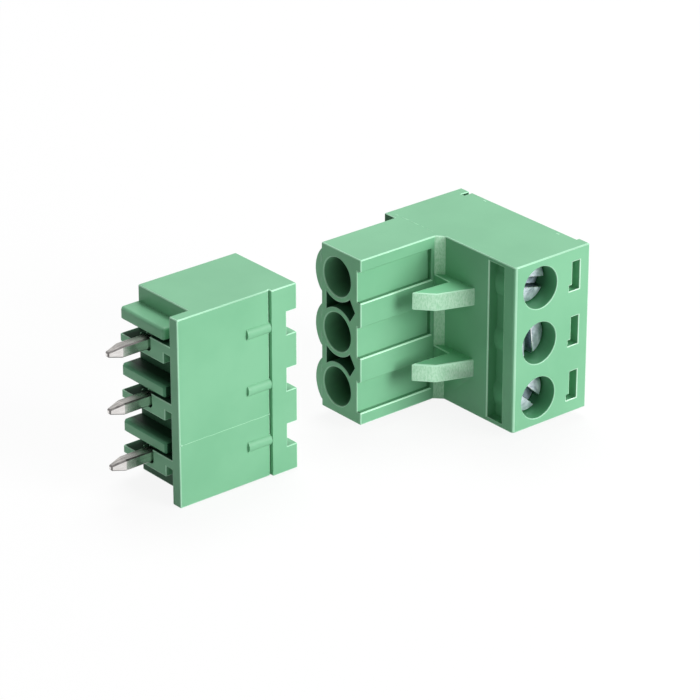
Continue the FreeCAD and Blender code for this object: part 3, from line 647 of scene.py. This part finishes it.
def headerFinishAndPaintedLight(x, y, z, normal, nearY, endZ):
    places = headerPlaces
    nx, ny, nz = normal
    rounding = plugPlaces["rounding"]
    standOff = places["standOff"]
    # painted highlight on the header's rounded edges
    if endZ - abs(z) < rounding and tilted(abs(nz)):
        return "edge"
    if x < rounding and tilted(-nx) and y < places["nearWallY"]:
        return "edge"
    # painted shade on the stand-off face
    if nx < -facing["flat"] and abs(x - standOff) < 2 * places["nearFace"] and z < places["pocketTop"]:
        return "pocketShade"
    if x < standOff and y > places["bayY"]:
        onPad = fromRow(z) < places["barHeights"][0] and y > places["padY"]
        shadedBar = fromRow(z) > places["barHeights"][0] and z < places["topBar"]
        # near-black painted shade under bars and pads, on pad tops and on the shaded bars' near ends
        if nz < -facing["mostly"] or (nz > facing["mostly"] and onPad):
            return "recessShade"
        if shadedBar and ny < -facing["squarely"]:
            return "recessShade"
        # painted shade on the rest of the shaded bars
        if shadedBar and nx >= -facing["squarely"]:
            return "barShade"
    return "body"


# the header's bevel faces get the pale painted highlight, except on the bars
def headerEdgeFinishAndPaintedLight(x, y, z, normal, nearY, endZ):
    return headerFinishAndPaintedLight(x, y, z, normal, nearY, endZ) if onBar(x, y, z) else "edge"


def paint(obj, node, flatChoice, edgeChoice):
    low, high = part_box(node)
    for face in obj.data.polygons:
        x, y, z = face.center / mm
        pick = flatChoice if face.material_index == 0 else edgeChoice
        face.material_index = finishAndPaintedLightIndex[pick(x - low.x / mm, y, z, face.normal, low.y / mm, high.z / mm)]


paint(plugShell, "plug_housing", plugFinishAndPaintedLight, plugEdgeFinishAndPaintedLight)
paint(headerShell, "header_housing", headerFinishAndPaintedLight, headerEdgeFinishAndPaintedLight)
print("shells made:", len(headerShell.data.polygons), len(plugShell.data.polygons), "faces")


# thin traces that the mould left: a parting line on the header, a flow line on the plug, both in the pale painted
# edge highlight

traces = {
    "lineHeight": -2.75 * mm,
    "lineWide": 0.050 * mm,
    "lineProud": 0.016 * mm,
    "lineOnWall": (0.12, 9.2, 14),   # start, length and steps, along X in millimetres
    "lineOnLip": (9.75, 2.1, 5),
    "wallWander": 0.02 * mm,
    "lipWander": 0.015 * mm,
    "waves": (2.7, 0.9),
    "waveShift": 0.6,
    "nearWall": -4.25 * mm,
    "lipSet": 0.022 * mm,        # keeps the trace on the lip within the header's box
    "nibsAt": (0.20 * mm, 9.22 * mm),
    "nibHalf": 0.07 * mm,
    "nibRise": 0.01 * mm,
    "nibWide": 0.20 * mm,
    "nibProud": 0.045 * mm,
    "flowAt": 8.65 * mm,         # from the plug's mating end
    "flowBend": 0.01 * mm,
    "flowProud": 0.010 * mm,
    "flowDashes": ((2.6, 2.2), (1.7, 0.9), (0.6, -0.4), (-0.7, -1.1), (-1.5, -2.3)),
    "ejectorMarks": ((16.45, -0.10), (16.40, -9.40)),
    "markWide": 0.16 * mm,
    "markLong": 0.34 * mm,
    "rootDeep": 0.02 * mm,       # every trace reaches this far into its wall
    "shoulders": {"line": 0.8, "nib": 0.6, "flow": 0.7},
}


def ridge(shape, points, wide, proud, shoulder):
    # a low rounded ridge on a near face, along points (x, z, face), standing proud towards -Y
    flank = proud * traces["shoulders"][shoulder]
    root = -traces["rootDeep"]
    outline = ((-0.5, root), (-0.25, flank), (0.0, proud), (0.25, flank), (0.5, root))
    rows = [[shape.verts.new((x, face - out, z + wide * share)) for share, out in outline] for x, z, face in points]
    count = len(outline)
    for first, second in zip(rows, rows[1:]):
        for k in range(count):
            after = (k + 1) % count
            shape.faces.new((first[k], second[k], second[after], first[after]))
    shape.faces.new(rows[0])
    shape.faces.new(list(reversed(rows[-1])))


def tracePiece(name, shape, body, material):
    bmesh.ops.recalc_face_normals(shape, faces=shape.faces)
    mesh = bpy.data.meshes.new(name)
    for face in shape.faces:
        face.smooth = True
    shape.to_mesh(mesh)
    shape.free()
    mesh.materials.append(material)
    obj = bpy.data.objects.new(name, mesh)
    bpy.context.scene.collection.objects.link(obj)
    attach(obj, body)
    return obj


def wander(step, shift, size):           # a mould line is never quite straight
    quick, slow = traces["waves"]
    return size * math.sin(step * quick + traces["waveShift"]) * math.sin(step * slow + shift)


def linePoints(run, shift, size, face):
    start, length, steps = run
    height = traces["lineHeight"]
    return [((start + length * k / steps) * mm, height + wander(k, shift, size), face) for k in range(steps + 1)]


lineShape = bmesh.new()
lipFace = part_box("header_housing")[0].y + traces["lipSet"]
ridge(lineShape, linePoints(traces["lineOnWall"], 1, traces["wallWander"], traces["nearWall"]),
      traces["lineWide"], traces["lineProud"], "line")
ridge(lineShape, linePoints(traces["lineOnLip"], 2, traces["lipWander"], lipFace),
      traces["lineWide"], traces["lineProud"], "line")
for x in traces["nibsAt"]:
    nib = ((-traces["nibHalf"], 0.0), (0.0, traces["nibRise"]), (traces["nibHalf"], 0.0))
    ridge(lineShape, [(x + aside, traces["lineHeight"] + rise, traces["nearWall"]) for aside, rise in nib],
          traces["nibWide"], traces["nibProud"], "nib")
tracePiece("header_mould_line", lineShape, "header", shellMaterials[edgeHighlightIndex])

flowShape = bmesh.new()                  # where two flows of plastic met, on the plug's end wall
plugLow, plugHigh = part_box("plug_housing")
flowX = plugLow.x + traces["flowAt"]
for start, stop in traces["flowDashes"]:
    middle = (start + stop) / 2
    ridge(flowShape, [(start * mm, flowX, 0.0), (middle * mm, flowX + traces["flowBend"], 0.0),
                      (stop * mm, flowX, 0.0)], traces["lineWide"], traces["flowProud"], "flow")
for across, along in traces["ejectorMarks"]:
    markX = plugLow.x + across * mm
    ridge(flowShape, [(along * mm + traces["markLong"] * share, markX, 0.0) for share in (0.5, 0.0, -0.5)],
          traces["markWide"], traces["flowProud"], "flow")
for corner in flowShape.verts:           # turned from the near face to the end wall
    along, proud, across = corner.co
    corner.co = (across, along, plugHigh.z - proud)
tracePiece("plug_flow_line", flowShape, "plug", shellMaterials[edgeHighlightIndex])
print("mould traces made")


# pins, contacts, cages and screws

pinSlots = {"plate": 0, "edge": 1, "shearedShade": 2}
pinSheared = 0.8                         # part of a side's normal along the row, from which it counts as sheared
screwSlots = {"head": 0, "wall": 1, "rimHighlight": 2, "floor": 3}
screwPlaces = {                          # millimetres from the head's top and from the screw's axis
    "slotDepth": (0.08, 1.2),
    "slotRadius": 1.7,
    "headDepth": 0.5,
}
for number in positions:
    pin = dress("header_pin_%d" % number, "pin_%d" % number, "header", "pin",
                [tinMetal, tinShade, tinShearedShade], pinSlots["edge"])
    for face in pin.data.polygons:       # two sides of a blanked pin are sheared and duller; their darker colour is also a painted reflection of dark surroundings
        if face.material_index == pinSlots["plate"] and abs(face.normal.z) > pinSheared:
            face.material_index = pinSlots["shearedShade"]
    dress("socket_contact_%d" % number, "contact_%d" % number, "plug", "spring", [contactMetal])
    dress("clamp_cage_%d" % number, "cage_%d" % number, "cage_%d" % number, "metal", [cageMetal])
    screw = dress("clamp_screw_%d" % number, "screw_%d" % number, "screw_%d" % number, "metal",
                  [zincMetal, zincSlot, zincRimHighlight, zincFloorShade], screwSlots["rimHighlight"])
    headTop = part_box("clamp_screw_%d" % number)[0].y
    axisZ = (number - 2) * pitch * mm
    for face in screw.data.polygons:     # painted shade in the slot: its walls are painted dark, its floor a mid tone between walls and head
        away = math.hypot(face.center.x - screwAxisX, face.center.z - axisZ) / mm
        down = (face.center.y - headTop) / mm
        if within(down, screwPlaces["slotDepth"]) and away < screwPlaces["slotRadius"]:
            onFloor = face.normal.y < -facing["squarely"]
            face.material_index = screwSlots["floor" if onFloor else "wall"]
        elif down > screwPlaces["headDepth"]:
            face.material_index = screwSlots["head"]
print("metal pieces made")


# floor, backdrop and lamps

studio = {
    "floorSize": 3.0,
    "floorGap": 0.02 * mm,       # under the lowest point of the header
    "floorColour": (0.60, 0.60, 0.60, 1.0),
    "floorSeen": (1.0, 1.0, 1.0, 1.0),
    "floorWhite": 0.90,          # share of plain white that the camera sees in the floor
    "floorMottle": 0.98,         # its duller patches, against the rest
    "mottleScale": 60.0,
    "fill": 0.20,
    "keyPower": 3.50,
    "keySize": 0.32,
    "keyPlace": (0.215, -0.535, 0.195),
    "topPower": 2.20,
    "topSize": 0.28,
    "topPlace": (0.185, 0.145, 0.56),
}

floorMesh = bpy.data.meshes.new("floor")
half = studio["floorSize"] / 2
floorLevel = cadLow.z - studio["floorGap"]
floorMesh.from_pydata([(-half, -half, floorLevel), (half, -half, floorLevel), (half, half, floorLevel),
                       (-half, half, floorLevel)], [], [(0, 1, 2, 3)])
floor = bpy.data.objects.new("floor", floorMesh)
bpy.context.scene.collection.objects.link(floor)


def seenDirectly(g):
    path = g.node("ShaderNodeLightPath")
    camera = Wire(g, path.outputs["Is Camera Ray"])
    glossy = Wire(g, path.outputs["Is Glossy Ray"])
    through = Wire(g, path.outputs["Is Transmission Ray"])
    return g.maths("MAXIMUM", g.maths("MAXIMUM", camera, glossy), through)


floorMaterial, g = startMaterial("paleFloor")
mottle = g.noise(g.place(), studio["mottleScale"], 2.0)
cameraSees = Wire(g, g.node("ShaderNodeLightPath").outputs["Is Camera Ray"])
duller = tuple(part * studio["floorMottle"] for part in studio["floorColour"][:3]) + (1.0,)
paleColour = g.mixColour(mottle, studio["floorColour"], duller)
diffuse = g.node("ShaderNodeBsdfDiffuse", Color=g.mixColour(cameraSees, paleColour, studio["floorSeen"]))
white = g.node("ShaderNodeEmission", Color=(1, 1, 1, 1), Strength=1.0)
mixed = g.node("ShaderNodeMixShader", i0=seenDirectly(g) * studio["floorWhite"], i1=g.wire(diffuse),
               i2=g.wire(white))
endMaterial(g, mixed)
floorMesh.materials.append(floorMaterial)

world = bpy.data.worlds.new("studio")
bpy.context.scene.world = world
world.use_nodes = True
g = Graph(world.node_tree)
strength = g.spread(seenDirectly(g), 0.0, 1.0, studio["fill"], 1.0)
background = g.node("ShaderNodeBackground", Color=(1, 1, 1, 1), Strength=strength)
out = g.node("ShaderNodeOutputWorld")
world.node_tree.links.new(background.outputs[0], out.inputs[0])


def lamp(name, place, size, power, target):
    data = bpy.data.lights.new(name, "AREA")
    data.shape = "SQUARE"
    data.size = size
    data.energy = power
    obj = bpy.data.objects.new(name, data)
    obj.location = place
    obj.rotation_mode = "QUATERNION"
    obj.rotation_quaternion = (Vector(target) - Vector(place)).to_track_quat("-Z", "Y")
    bpy.context.scene.collection.objects.link(obj)
    return obj


middle = (cadLow + cadHigh) / 2
lamp("keyLamp", studio["keyPlace"], studio["keySize"], studio["keyPower"], middle)
lamp("topLamp", studio["topPlace"], studio["topSize"], studio["topPower"], middle)


# camera

cameraLook = {
    "azimuth": -39.8,
    "elevation": 25.1,
    "distance": 300.0 * mm,
    "scale": 12.04,              # pixels for each mm at the target
    "target": (17.69 * mm, -4.5 * mm, 0.65 * mm),
    "frame": 700.0,              # pixels across the picture
    "sensor": 36.0,
    "clip": (0.01, 10.0),
}
azimuth = math.radians(cameraLook["azimuth"])
elevation = math.radians(cameraLook["elevation"])
back = Vector((math.sin(azimuth) * math.cos(elevation), -math.cos(azimuth) * math.cos(elevation),
               math.sin(elevation)))
focalPixels = cameraLook["scale"] * cameraLook["distance"] / mm
cameraData = bpy.data.cameras.new("camera")
cameraData.sensor_width = cameraLook["sensor"]
cameraData.lens = focalPixels / cameraLook["frame"] * cameraData.sensor_width
cameraData.clip_start, cameraData.clip_end = cameraLook["clip"]
camera = bpy.data.objects.new("camera", cameraData)
camera.location = Vector(cameraLook["target"]) + back * cameraLook["distance"]
camera.rotation_mode = "QUATERNION"
camera.rotation_quaternion = (-back).to_track_quat("-Z", "Y")
bpy.context.scene.collection.objects.link(camera)
bpy.context.scene.camera = camera
bpy.context.scene.view_settings.view_transform = "Standard"
print("studio and camera ready")
